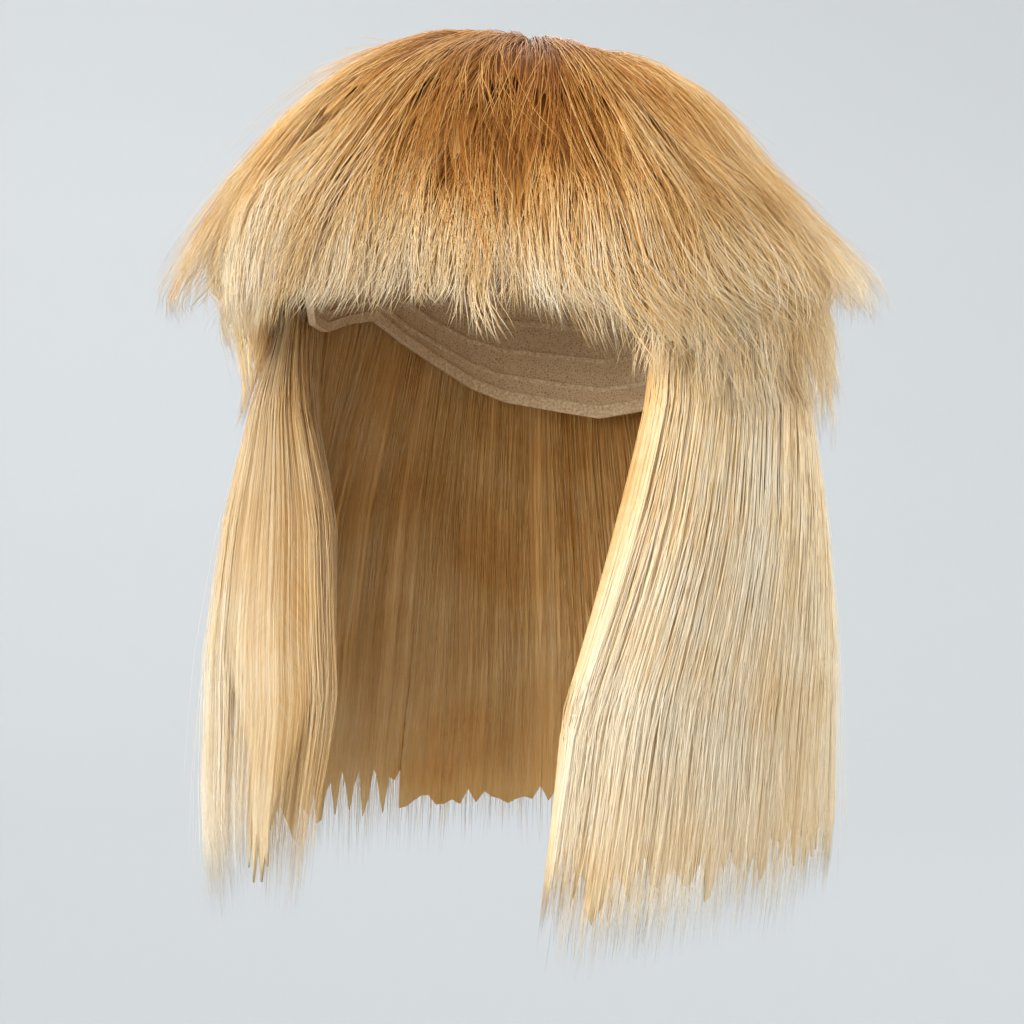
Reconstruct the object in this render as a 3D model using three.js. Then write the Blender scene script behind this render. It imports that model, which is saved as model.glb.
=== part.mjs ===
// A blond mullet wig: a plain stretch cap with short shaggy layers over the crown, a fringe,
// two rows of flicked side layers, and long straight hair that hangs round the neck.
// Millimetres, +Z up. The face looks along -Y and the wearer's left is +X.
// The origin is the inside top of the cap, where the crown of the head touches it.
import * as THREE from "three";

// Head that the cap fits
const headHalfWidth = 77;
const headHalfLength = 96;
const headRise = 86; // crown of the head down to its widest level
const headSquareness = 2.2; // exponent of the head's rounded outline
const napeTuck = 13; // how far the nape draws in under the back of the head
const napeReach = 0.6; // share of headRise over which it does so

// Cap
const capWall = 2;
const capFrontDepth = 60; // crown down to the hairline over the forehead
const capTempleDepth = 103; // down to the tab in front of the ear
const capEarDepth = 94; // down to the edge over the ear
const capNapeDepth = 136; // down to the nape
const capEdge = [
  { azimuth: 0, depth: capFrontDepth },
  { azimuth: 45, depth: capFrontDepth + 15 },
  { azimuth: 72, depth: capTempleDepth },
  { azimuth: 100, depth: capEarDepth },
  { azimuth: 140, depth: capNapeDepth - 8 },
  { azimuth: 180, depth: capNapeDepth },
];
const capSeam = 0.5; // share of the way to the widest level at which the crown panel ends
const capSeamGap = 0.3; // clearance along that seam
const capColumns = 32;
const crownPanelRows = 4;
const sidePanelRows = 5;

// Hair
const pieceGap = 0.5; // clearance between pieces side by side
const layerGap = 0.9; // clearance between a layer and what it lies on
const leastHair = 2.2; // thickness that a layer thins out to
const coverThickness = 6; // thickness of the crown hair over the layers below it
const tipThickness = 1.4; // thickness at the points of the locks
const whorlBack = 24; // how far behind the middle of the head the hair springs from
const crownLoft = 30; // height of the crown hair over the head
const flickReach = 33; // how far the points of the upper layers stand out beyond the crown hair
const lowerReach = 46; // how far the points of the lower layers stand out from the head
const curtainFlare = 47; // how far the long hair hangs out from the head's outline
const fringeDepth = 90; // crown down to the points of the fringe
const upperDepth = 92; // crown down to the points of the upper layer at the sides
const lowerDepth = 124; // crown down to the points of the lower layer
const lengthDepth = 332; // crown down to the longest points of the long hair
const backLength = 0.95; // share of that depth to which the hair at the back reaches

// Places on the way from the whorl down to the head's widest level, as shares of it
const layerStart = 0.46; // where the fringe and the upper layers begin
const coverEnd = 0.72; // where the hair under the crown locks begins to come out
const crownReach = 0.78; // where the crown locks end
const seatEnd = 0.8; // down to here the upper layers lie on the cap
const lengthStart = 0.85; // where the long hair begins
const lowerStart = 0.88; // where the lower layer begins
const thinStart = 0.85; // where the upper layers begin to thin from below
const thinEnd = 1.05;
const thinShare = 0.62; // share of their thickness that they lose there

// Azimuths in degrees: 0 is the face, 90 the wearer's left
const fullTurn = 360;
const fringeAngle = 46; // the fringe ends and the upper side layers begin
const rampAngle = 54; // from the fringe to here the upper layers rise to clear the lower one
const lowerAngle = 56; // the lower layer begins
const backAngle = 132; // the back layers begin
const rightAngle = fullTurn - backAngle; // and end

// Locks
const lockColumns = 4; // grid columns across one lock
const endVariation = 0.03; // share by which the lengths of the locks differ
const sidePoint = 0.5; // how far the hair at the sides of a band runs on towards a full lock
const tipStart = 0.55; // share of a band's length at which the locks begin to thin to their points
const rootGroove = 0.22; // share of their depth that the grooves between the locks have at the start
const endGroove = 0.9; // and at the end
// How far the points of the locks stand from the inner face towards the outer one
const crownFlick = 0.6;
const fringeFlick = 0.4;
const layerFlick = 1;
const lengthFlick = 0.6;

const degree = Math.PI / 180;
const hairBase = capWall + layerGap; // lowest height of any hair over the head

// Colours
const capColour = 0xb98a58;
const crownColour = 0xc9924f;
const fringeColour = 0xdcb070;
const layerColour = 0xd9b076;
const lengthColour = 0xe8cc96;
const hairRoughness = 0.45;
const capRoughness = 0.9;

// Azimuths of the columns in the tables of heights
const columns = [
  { name: "front", azimuth: 0 },
  { name: "leftTemple", azimuth: 52 },
  { name: "leftSide", azimuth: 105 },
  { name: "back", azimuth: 180 },
  { name: "rightSide", azimuth: 285 },
  { name: "rightTemple", azimuth: 308 },
];

// Height of the hair on the crown, as shares of crownLoft, and what the upper layers stand out
// beyond that, as shares of flickReach. Past a table's last reach its last row holds.
const crownHeights = [
  { reach: 0, front: 0.35, leftTemple: 0.35, leftSide: 0.35, back: 0.35, rightSide: 0.35, rightTemple: 0.35 },
  { reach: 0.15, front: 0.5, leftTemple: 0.42, leftSide: 0.43, back: 0.5, rightSide: 0.74, rightTemple: 0.7 },
  { reach: 0.3, front: 0.6, leftTemple: 0.54, leftSide: 0.6, back: 0.68, rightSide: 0.78, rightTemple: 0.72 },
  { reach: 0.5, front: 0.66, leftTemple: 0.66, leftSide: 0.77, back: 0.84, rightSide: 0.9, rightTemple: 0.8 },
  { reach: 0.7, front: 0.62, leftTemple: 0.74, leftSide: 0.9, back: 0.96, rightSide: 1.16, rightTemple: 0.92 },
];
const flickHeights = [
  { reach: 0.7, front: 0, leftTemple: 0, leftSide: 0, back: 0, rightSide: 0, rightTemple: 0 },
  { reach: 0.85, front: -0.06, leftTemple: 0.05, leftSide: 0.3, back: 0.14, rightSide: 0.26, rightTemple: 0.09 },
  { reach: 0.99, front: -0.11, leftTemple: 0.05, leftSide: 1.06, back: 0.4, rightSide: 0.84, rightTemple: 0.16 },
  { reach: 1.2, front: -0.06, leftTemple: 0, leftSide: 1.18, back: 0.46, rightSide: 0.92, rightTemple: 0.05 },
];
// Outer height of the lower layer, as shares of lowerReach
const lowerHeights = [
  { reach: 0.88, front: 0.32, leftTemple: 0.32, leftSide: 0.4, back: 0.36, rightSide: 0.4, rightTemple: 0.32 },
  { reach: 1, front: 0.5, leftTemple: 0.5, leftSide: 0.7, back: 0.6, rightSide: 0.66, rightTemple: 0.5 },
  { reach: 1.15, front: 0.56, leftTemple: 0.58, leftSide: 0.92, back: 0.72, rightSide: 0.82, rightTemple: 0.55 },
  { reach: 1.45, front: 0.6, leftTemple: 0.62, leftSide: 1, back: 0.82, rightSide: 0.66, rightTemple: 0.5 },
];
// Outer height of the long hair, as shares of curtainFlare
const lengthHeights = [
  { reach: 0.85, front: 0.2, leftTemple: 0.2, leftSide: 0.2, back: 0.2, rightSide: 0.2, rightTemple: 0.2 },
  { reach: 1, front: 0.33, leftTemple: 0.33, leftSide: 0.33, back: 0.33, rightSide: 0.33, rightTemple: 0.33 },
  { reach: 1.2, front: 0.42, leftTemple: 0.42, leftSide: 0.45, back: 0.4, rightSide: 0.43, rightTemple: 0.42 },
  { reach: 1.5, front: 0.6, leftTemple: 0.62, leftSide: 0.75, back: 0.52, rightSide: 0.6, rightTemple: 0.6 },
  { reach: 2.05, front: 0.78, leftTemple: 0.82, leftSide: 0.89, back: 0.66, rightSide: 0.79, rightTemple: 0.86 },
  { reach: 2.7, front: 0.84, leftTemple: 0.87, leftSide: 0.98, back: 0.72, rightSide: 0.9, rightTemple: 0.96 },
  { reach: 3.4, front: 0.82, leftTemple: 0.85, leftSide: 0.96, back: 0.68, rightSide: 0.9, rightTemple: 0.94 },
  { reach: 4, front: 0.74, leftTemple: 0.78, leftSide: 0.86, back: 0.6, rightSide: 0.78, rightTemple: 0.8 },
];
// Thickness of the long hair, and how much thicker it is bunched on each side of the face,
// as shares of curtainFlare
const lengthThickness = [
  { reach: 0.85, all: 0.16, left: 0, right: 0 },
  { reach: 1, all: 0.28, left: 0, right: 0 },
  { reach: 1.5, all: 0.34, left: 0.08, right: 0.12 },
  { reach: 2.05, all: 0.32, left: 0.26, right: 0.46 },
  { reach: 2.9, all: 0.3, left: 0.3, right: 0.56 },
  { reach: 4, all: 0.16, left: 0.1, right: 0.24 },
];
// Where the long hair ends beside the face: the azimuth on each side, and how far its inner face is
// drawn in towards the neck there, as the share of the head's outline that is left
const faceEdges = [
  { reach: 0.85, left: 68, leftDraw: 1, right: 72, rightDraw: 1 },
  { reach: 1.2, left: 62, leftDraw: 1, right: 69, rightDraw: 1 },
  { reach: 2.05, left: 47, leftDraw: 1, right: 60, rightDraw: 0.84 },
  { reach: 2.8, left: 35, leftDraw: 1, right: 54, rightDraw: 0.78 },
  { reach: 4, left: 27, leftDraw: 1, right: 46, rightDraw: 0.82 },
];
const bunchAngle = 38; // how far round from its edge the long hair is bunched
const roundAngle = 13; // how far round from that edge its section is rounded off
const edgeShare = 0.45; // share of its thickness that is left at the edge
// Depth of each layer's points round the head, as shares of the depth named for that layer
const upperPoints = [
  { azimuth: 0, share: 0.98 },
  { azimuth: 26, share: 1.04 },
  { azimuth: 50, share: 1.17 },
  { azimuth: 72, share: 1.08 },
  { azimuth: 95, share: 0.98 },
  { azimuth: 118, share: 0.96 },
  { azimuth: 150, share: 1 },
  { azimuth: 180, share: 1.1 },
  { azimuth: 212, share: 1 },
  { azimuth: 250, share: 0.95 },
  { azimuth: 285, share: 0.96 },
  { azimuth: 308, share: 1.08 },
  { azimuth: 334, share: 1.04 },
  { azimuth: fullTurn, share: 0.98 },
];

// One row for each band of hair: its azimuths, how many locks it has, and how deep the gaps between
// their points and the grooves between their crests are, as shares of their free length and thickness
const crownBand = { locks: 17, notch: 0.36, ridge: 0.42 };
const upperBands = [
  { name: "fringe", from: -fringeAngle, to: fringeAngle, locks: 7, notch: 0.3, ridge: 0.4 },
  { name: "left_upper_layer", from: fringeAngle, to: backAngle, locks: 5, notch: 0.5, ridge: 0.45 },
  { name: "back_upper_layer", from: backAngle, to: rightAngle, locks: 6, notch: 0.5, ridge: 0.45 },
  { name: "right_upper_layer", from: rightAngle, to: fullTurn - fringeAngle, locks: 5, notch: 0.5, ridge: 0.45 },
];
const lowerBands = [
  { name: "left_lower_layer", from: lowerAngle, to: backAngle, locks: 4, notch: 0.45, ridge: 0.45 },
  { name: "back_lower_layer", from: backAngle, to: rightAngle, locks: 5, notch: 0.45, ridge: 0.45 },
  { name: "right_lower_layer", from: rightAngle, to: fullTurn - lowerAngle, locks: 4, notch: 0.45, ridge: 0.45 },
];
// The long hair is shared out along its own way round, from the left of the face to the right of it
const lengthTurn = fullTurn - faceEdges[0].left - faceEdges[0].right;
const leftShare = (backAngle - faceEdges[0].left) / lengthTurn;
const rightShare = (rightAngle - faceEdges[0].left) / lengthTurn;
const lengthBands = [
  { name: "left_length", from: 0, to: leftShare, locks: 5, notch: 0.08, ridge: 0.35 },
  { name: "back_length", from: leftShare, to: rightShare, locks: 6, notch: 0.08, ridge: 0.35 },
  { name: "right_length", from: rightShare, to: 1, locks: 5, notch: 0.08, ridge: 0.35 },
];
// Reaches of the rows that every column of a layer has, and how many more run on down to its own end
const crownStep = layerStart - 0.05; // below this the crown hair rises over the layers that begin there
const crownRows = { firm: [0, 0.14, 0.28, crownStep, crownStep + 0.025], free: 4 };
const upperRows = { firm: [layerStart, 0.6, coverEnd, seatEnd, 0.84, 0.92], free: 4 };
const lowerRows = { firm: [lowerStart, 0.94, 1], free: 4 };
const lengthRows = { firm: [lengthStart, 0.92, 1, 1.1, 1.25, 1.5], free: 5 };

const mix = (a, b, share) => a + (b - a) * share;
const clamp01 = (x) => Math.min(1, Math.max(0, x));
const ease = (x) => clamp01(x) ** 2 * (3 - 2 * clamp01(x));
const wrapTurn = (azimuth) => ((azimuth % fullTurn) + fullTurn) % fullTurn;
// A fixed, uneven number from -1 to 1 for each lock
const unevenness = (index, salt) => Math.sin(index * 2.399 + salt * 1.7) * Math.cos(index * 5.13 + salt);

// A column of a table at x, where key names the column that x is measured along.
function fromTable(rows, key, column, x) {
  const next = rows.findIndex((row) => row[key] >= x);
  if (next === 0) return rows[0][column];
  if (next < 0) return rows[rows.length - 1][column];
  const [a, b] = [rows[next - 1], rows[next]];
  return mix(a[column], b[column], (x - a[key]) / (b[key] - a[key]));
}

// A table of heights at any reach and azimuth, smooth all the way round.
function heightFrom(rows, reach, azimuth) {
  const turned = wrapTurn(azimuth);
  const last = columns.findLastIndex((c) => c.azimuth <= turned);
  const a = columns[last];
  const b = columns[(last + 1) % columns.length];
  const span = b.azimuth > a.azimuth ? b.azimuth - a.azimuth : b.azimuth + fullTurn - a.azimuth;
  const share = ease((turned - a.azimuth) / span);
  return mix(fromTable(rows, "reach", a.name, reach), fromTable(rows, "reach", b.name, reach), share);
}

// A number raised to a power, with its sign kept.
const signedPower = (x, power) => Math.sign(x) * Math.abs(x) ** power;

// A point over the head. Reach is 0 at the whorl and 1 at the head's widest level, and then runs
// straight down by headRise for each 1. Tuck is the share of napeTuck that the nape draws in by,
// and draw the share of the outline that is left.
function overHead(azimuth, reach, height, { tuck = 0, draw = 1 } = {}) {
  const rimX = signedPower(Math.sin(azimuth * degree), 2 / headSquareness);
  const rimY = signedPower(-Math.cos(azimuth * degree), 2 / headSquareness);
  const out = Math.sin((Math.min(reach, 1) * Math.PI) / 2) ** (2 / headSquareness);
  const x = rimX * out;
  const y = mix(whorlBack / headHalfLength, rimY, out);
  const outward = Math.abs(x) ** headSquareness + Math.abs(y) ** headSquareness;
  const level = Math.max(0, 1 - outward) ** (1 / headSquareness);
  const steep = headSquareness - 1;
  const normal = new THREE.Vector3(
    signedPower(x, steep) / headHalfWidth,
    signedPower(y, steep) / headHalfLength,
    level ** steep / headRise,
  ).normalize();
  const inward = tuck * napeTuck * ease((reach - 1) / napeReach) * Math.max(0, rimY);
  const plan = new THREE.Vector3(x * headHalfWidth, y * headHalfLength, 0);
  plan.addScaledVector(normal, height - inward);
  const below = Math.max(0, reach - 1) * headRise;
  return new THREE.Vector3(plan.x * draw, plan.y * draw, plan.z - headRise * (1 - level) - below);
}

const reachOf = (depth) => depth / headRise;
// Reach that a length over the upper half of the head takes
const reachAlong = (length) => length / (headRise * Math.PI / 2);

// Outer height of the crown hair and the upper layers together
function upperVolume(azimuth, reach) {
  const flick = flickReach * heightFrom(flickHeights, reach, azimuth);
  return crownLoft * heightFrom(crownHeights, reach, azimuth) + flick;
}

// The side of the face that an azimuth is on, how near it is to the edge of the hair there, from 1
// at the edge to 0 where the bunch ends, and the share of the thickness that the round edge leaves
function nearEdge(azimuth, reach) {
  const side = azimuth < 180 ? "left" : "right";
  const round = azimuth < 180 ? azimuth : fullTurn - azimuth;
  const turn = round - fromTable(faceEdges, "reach", side, reach);
  const rounding = Math.sqrt(1 - (1 - clamp01(turn / roundAngle)) ** 2);
  return { side, near: ease(1 - turn / bunchAngle), full: mix(edgeShare, 1, rounding) };
}

// Inner and outer height of the long hair
function lengthFaces(azimuth, reach) {
  const { side, near, full } = nearEdge(azimuth, reach);
  const plain = fromTable(lengthThickness, "reach", "all", reach);
  const bunched = near * fromTable(lengthThickness, "reach", side, reach);
  const crest = Math.max(hairBase + leastHair, curtainFlare * heightFrom(lengthHeights, reach, azimuth));
  const thickness = Math.max(leastHair, curtainFlare * (plain + bunched));
  const taken = (Math.min(thickness, crest - hairBase) * (1 - full)) / 2;
  const outer = Math.max(hairBase + leastHair, crest - taken);
  return { inner: Math.max(hairBase, crest - thickness + taken), outer };
}

// Inner and outer height of the lower layer, which lies over the long hair
function lowerFaces(azimuth, reach) {
  const inner = lengthFaces(azimuth, reach).outer + layerGap;
  const full = lowerReach * heightFrom(lowerHeights, reach, azimuth);
  return { inner, outer: Math.max(full, inner + leastHair) };
}

// Room left for the crown hair where it lies over the fringe and the upper layers
const crownCover = (reach) => coverThickness * clamp01((seatEnd - reach) / (seatEnd - coverEnd));

// Inner and outer height of the fringe and the upper layers, which lie on the cap and then clear
// the lower layer
function upperFaces(azimuth, reach) {
  const turn = Math.min(wrapTurn(azimuth), fullTurn - wrapTurn(azimuth));
  const over = clamp01((turn - fringeAngle) / (rampAngle - fringeAngle));
  const lowerOuter = lowerFaces(azimuth, Math.max(reach, lowerStart)).outer;
  const clear = mix(hairBase, lowerOuter + layerGap, over);
  const full = upperVolume(azimuth, reach);
  const thinned = thinShare * ease((reach - thinStart) / (thinEnd - thinStart));
  const inner = reach > seatEnd ? Math.max(clear, mix(clear, full, thinned)) : hairBase;
  return { inner, outer: Math.max(full - crownCover(reach), inner + leastHair) };
}

// A closed skin over a grid: an outer face, an inner face and strips that join them round the edge.
// Its form is a sheet, a ring that closes on itself, or a dome, which is a ring whose first row is
// one point.
function closedSheet(columnCount, rowCount, form, pointAt) {
  const ring = form !== "sheet";
  const dome = form === "dome";
  const positions = [];
  const index = [];
  const across = ring ? columnCount : columnCount + 1;
  const made = ["outer", "inner"].map((face) => {
    const grid = [];
    for (let row = 0; row <= rowCount; row++) {
      const line = [];
      for (let column = 0; column < across; column++) {
        if (dome && row === 0 && column > 0) {
          line.push(line[0]);
          continue;
        }
        line.push(positions.length / 3);
        positions.push(...pointAt(column, row, face).toArray());
      }
      if (ring) line.push(line[0]);
      grid.push(line);
    }
    return grid;
  });
  const triangle = (a, b, c) => {
    if (a !== b && b !== c && c !== a) index.push(a, b, c);
  };
  const quad = (a, b, c, d) => {
    triangle(a, b, c);
    triangle(a, c, d);
  };
  const [outer, inner] = made;
  for (let row = 0; row < rowCount; row++) {
    for (let column = 0; column < columnCount; column++) {
      quad(outer[row][column], outer[row + 1][column], outer[row + 1][column + 1], outer[row][column + 1]);
      quad(inner[row][column], inner[row][column + 1], inner[row + 1][column + 1], inner[row + 1][column]);
    }
    if (ring) continue;
    const last = columnCount;
    quad(outer[row + 1][0], outer[row][0], inner[row][0], inner[row + 1][0]);
    quad(outer[row][last], outer[row + 1][last], inner[row + 1][last], inner[row][last]);
  }
  for (let column = 0; column < columnCount; column++) {
    const foot = rowCount;
    quad(outer[foot][column + 1], outer[foot][column], inner[foot][column], inner[foot][column + 1]);
    if (!dome) quad(outer[0][column], outer[0][column + 1], inner[0][column + 1], inner[0][column]);
  }
  const geometry = new THREE.BufferGeometry();
  geometry.setAttribute("position", new THREE.Float32BufferAttribute(positions, 3));
  geometry.setIndex(index);
  return geometry;
}

// One panel of the cap. The sides are cut to the hairline.
function capGeometry(panel) {
  const isCrown = panel === "cap_crown";
  const edgeReach = (azimuth) => {
    const side = azimuth > 180 ? fullTurn - azimuth : azimuth;
    const depth = fromTable(capEdge, "azimuth", "depth", side);
    const level = 1 - depth / headRise;
    if (level <= 0) return reachOf(depth);
    return Math.asin(Math.sqrt(1 - level ** headSquareness)) / (Math.PI / 2);
  };
  const rows = isCrown ? crownPanelRows : sidePanelRows;
  const top = isCrown ? 0 : capSeam + reachAlong(capSeamGap);
  return closedSheet(capColumns, rows, isCrown ? "dome" : "ring", (column, row, face) => {
    const azimuth = (fullTurn * column) / capColumns;
    const height = face === "outer" ? capWall : 0;
    const foot = isCrown ? capSeam : edgeReach(azimuth);
    return overHead(azimuth, mix(top, foot, row / rows), height, { tuck: 1 });
  });
}

// One band of hair in locks. Each lock's point is at its crest, and the grooves between locks end higher.
// azimuthAt and facesAt give its place and its two heights, and endAt the reach of its points.
function hairGeometry(band, { rows, endAt, azimuthAt, facesAt, flick, drawAt = () => 1, form = "sheet" }) {
  const columnCount = band.locks * lockColumns;
  const lastFirm = rows.firm.length - 1;
  const rowCount = lastFirm + rows.free;
  return closedSheet(columnCount, rowCount, form, (column, row, face) => {
    const lock = Math.floor(column / lockColumns);
    const within = (column % lockColumns) / lockColumns;
    const crest = Math.sin(Math.PI * within);
    const atSide = form === "sheet" && column % columnCount === 0;
    const point = atSide ? sidePoint : 1 - Math.abs(2 * within - 1);
    const share = column / columnCount;
    const end = endAt(share) * (1 + endVariation * unevenness(lock, band.locks));
    const start = rows.firm[lastFirm];
    const cut = mix(start, end, 1 - band.notch * (1 - point));
    const reach = row <= lastFirm ? rows.firm[row] : mix(start, cut, (row - lastFirm) / rows.free);
    const azimuth = azimuthAt(share, reach);
    const faces = facesAt(azimuth, reach);
    const thickness = faces.outer - faces.inner;
    const along = row / rowCount;
    const tip = ease((along - tipStart) / (1 - tipStart));
    const relief = band.ridge * (1 - crest) * mix(rootGroove, endGroove, along);
    const kept = Math.max(leastHair, thickness * (1 - relief));
    const left = mix(kept, Math.min(tipThickness, kept), tip);
    const foot = faces.inner + (thickness - left) * tip * flick;
    if (face === "outer") return overHead(azimuth, reach, foot + left);
    return overHead(azimuth, reach, foot, { draw: drawAt(azimuth, reach) });
  });
}

// Half of the clearance between bands side by side, in degrees round the head
const sideMargin = pieceGap / (headHalfWidth * degree) / 2;

// The crown hair springs from the whorl all round and lies over the layers below it.
function crownGeometry() {
  return hairGeometry(crownBand, {
    rows: crownRows,
    endAt: () => crownReach,
    flick: crownFlick,
    azimuthAt: (share) => fullTurn * share,
    facesAt: (azimuth, reach) => {
      const under = upperFaces(azimuth, Math.max(reach, layerStart));
      const seat = reach > crownStep ? under.outer + layerGap : hairBase;
      return { inner: seat, outer: Math.max(upperVolume(azimuth, reach), seat + leastHair) };
    },
    form: "dome",
  });
}

// The fringe lies against the forehead, and the upper layers beside and behind it flick out.
function upperGeometry(band) {
  const isFringe = band.name === "fringe";
  const depth = isFringe ? fringeDepth : upperDepth;
  const azimuthAt = (share) => mix(band.from + sideMargin, band.to - sideMargin, share);
  const pointShare = (azimuth) => fromTable(upperPoints, "azimuth", "share", azimuth);
  return hairGeometry(band, {
    rows: upperRows,
    endAt: (share) => reachOf(depth * pointShare(wrapTurn(azimuthAt(share)))),
    flick: isFringe ? fringeFlick : layerFlick,
    azimuthAt,
    facesAt: upperFaces,
  });
}

function lowerGeometry(band) {
  return hairGeometry(band, {
    rows: lowerRows,
    endAt: () => reachOf(lowerDepth),
    flick: layerFlick,
    azimuthAt: (share) => mix(band.from + sideMargin, band.to - sideMargin, share),
    facesAt: lowerFaces,
  });
}

// The long hair is longest beside the face.
function lengthGeometry(band) {
  const edge = (column, reach) => fromTable(faceEdges, "reach", column, reach);
  const margin = sideMargin / lengthTurn;
  const from = band.from + (band.from > 0 ? margin : 0);
  const to = band.to - (band.to < 1 ? margin : 0);
  const around = (share) => mix(from, to, share);
  return hairGeometry(band, {
    rows: lengthRows,
    endAt: (share) => reachOf(lengthDepth) * mix(1, backLength, Math.sin(Math.PI * around(share))),
    azimuthAt: (share, reach) => mix(edge("left", reach), fullTurn - edge("right", reach), around(share)),
    facesAt: lengthFaces,
    flick: lengthFlick,
    drawAt: (azimuth, reach) => {
      const { side, near } = nearEdge(azimuth, reach);
      return mix(1, edge(`${side}Draw`, reach), near);
    },
  });
}

const materialOf = (color, roughness) => new THREE.MeshStandardMaterial({ color, roughness, metalness: 0 });

const wig = new THREE.Group();
const addPiece = (name, geometry, material) => {
  const piece = new THREE.Mesh(geometry, material);
  piece.name = name;
  wig.add(piece);
};

for (const panel of ["cap_crown", "cap_sides"]) {
  addPiece(panel, capGeometry(panel), materialOf(capColour, capRoughness));
}
addPiece("crown_hair", crownGeometry(), materialOf(crownColour, hairRoughness));
for (const band of upperBands) {
  const colour = band.name === "fringe" ? fringeColour : layerColour;
  addPiece(band.name, upperGeometry(band), materialOf(colour, hairRoughness));
}
for (const band of lowerBands) {
  addPiece(band.name, lowerGeometry(band), materialOf(layerColour, hairRoughness));
}
for (const band of lengthBands) {
  addPiece(band.name, lengthGeometry(band), materialOf(lengthColour, hairRoughness));
}

export default wig;
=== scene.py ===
import math

import bpy
import numpy as np
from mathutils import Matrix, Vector


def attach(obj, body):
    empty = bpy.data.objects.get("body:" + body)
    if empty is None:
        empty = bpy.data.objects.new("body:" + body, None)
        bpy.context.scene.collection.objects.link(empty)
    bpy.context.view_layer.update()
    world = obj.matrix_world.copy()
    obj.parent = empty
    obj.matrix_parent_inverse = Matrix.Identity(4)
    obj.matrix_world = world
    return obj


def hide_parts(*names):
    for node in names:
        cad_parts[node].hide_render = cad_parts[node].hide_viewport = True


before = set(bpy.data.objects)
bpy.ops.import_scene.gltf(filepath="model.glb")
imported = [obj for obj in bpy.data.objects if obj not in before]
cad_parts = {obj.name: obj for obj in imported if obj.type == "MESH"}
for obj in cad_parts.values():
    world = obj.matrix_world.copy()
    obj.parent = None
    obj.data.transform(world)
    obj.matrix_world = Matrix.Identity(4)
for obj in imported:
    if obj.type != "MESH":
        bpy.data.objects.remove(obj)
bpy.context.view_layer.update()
print("frame loaded,", len(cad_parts), "solids")

mm = 0.001
tiny = 1e-9


def mix(a, b, share):
    return a + (b - a) * share


def ease(x):
    held = np.clip(x, 0, 1)
    return held * held * (3 - 2 * held)


def signedPower(x, power):
    return np.sign(x) * np.abs(x) ** power


# The head form under the hair. A place over it has an azimuth (0 the face, 90 the wearer's left),
# a reach (0 at the whorl, 1 at the widest level, then straight down) and a height off the head.
head = {
    "halfWidth": 77, "halfLength": 96, "rise": 86, "squareness": 2.2,
    "whorlBack": 24, "napeTuck": 13, "napeReach": 0.6,
}


def overHead(azimuth, reach, height, draw=1.0, tuck=0.0):
    power = 2 / head["squareness"]
    turned = np.radians(azimuth)
    rimX = signedPower(np.sin(turned), power)
    rimY = signedPower(-np.cos(turned), power)
    out = np.sin(np.clip(reach, 0, 1) * math.pi / 2) ** power
    x = rimX * out
    y = mix(head["whorlBack"] / head["halfLength"], rimY, out)
    outward = np.abs(x) ** head["squareness"] + np.abs(y) ** head["squareness"]
    level = np.maximum(0, 1 - outward) ** (1 / head["squareness"])
    steep = head["squareness"] - 1
    normal = np.stack([
        signedPower(x, steep) / head["halfWidth"],
        signedPower(y, steep) / head["halfLength"],
        level ** steep / head["rise"] + 0 * x,
    ], axis=-1)
    normal /= np.linalg.norm(normal, axis=-1, keepdims=True)
    inward = tuck * head["napeTuck"] * ease((reach - 1) / head["napeReach"]) * np.maximum(0, rimY)
    lift = height - inward
    below = np.maximum(0, reach - 1) * head["rise"]
    place = np.stack([
        (x * head["halfWidth"] + normal[..., 0] * lift) * draw,
        (y * head["halfLength"] + normal[..., 1] * lift) * draw,
        normal[..., 2] * lift - head["rise"] * (1 - level) - below,
    ], axis=-1)
    return place * mm, normal


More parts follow.
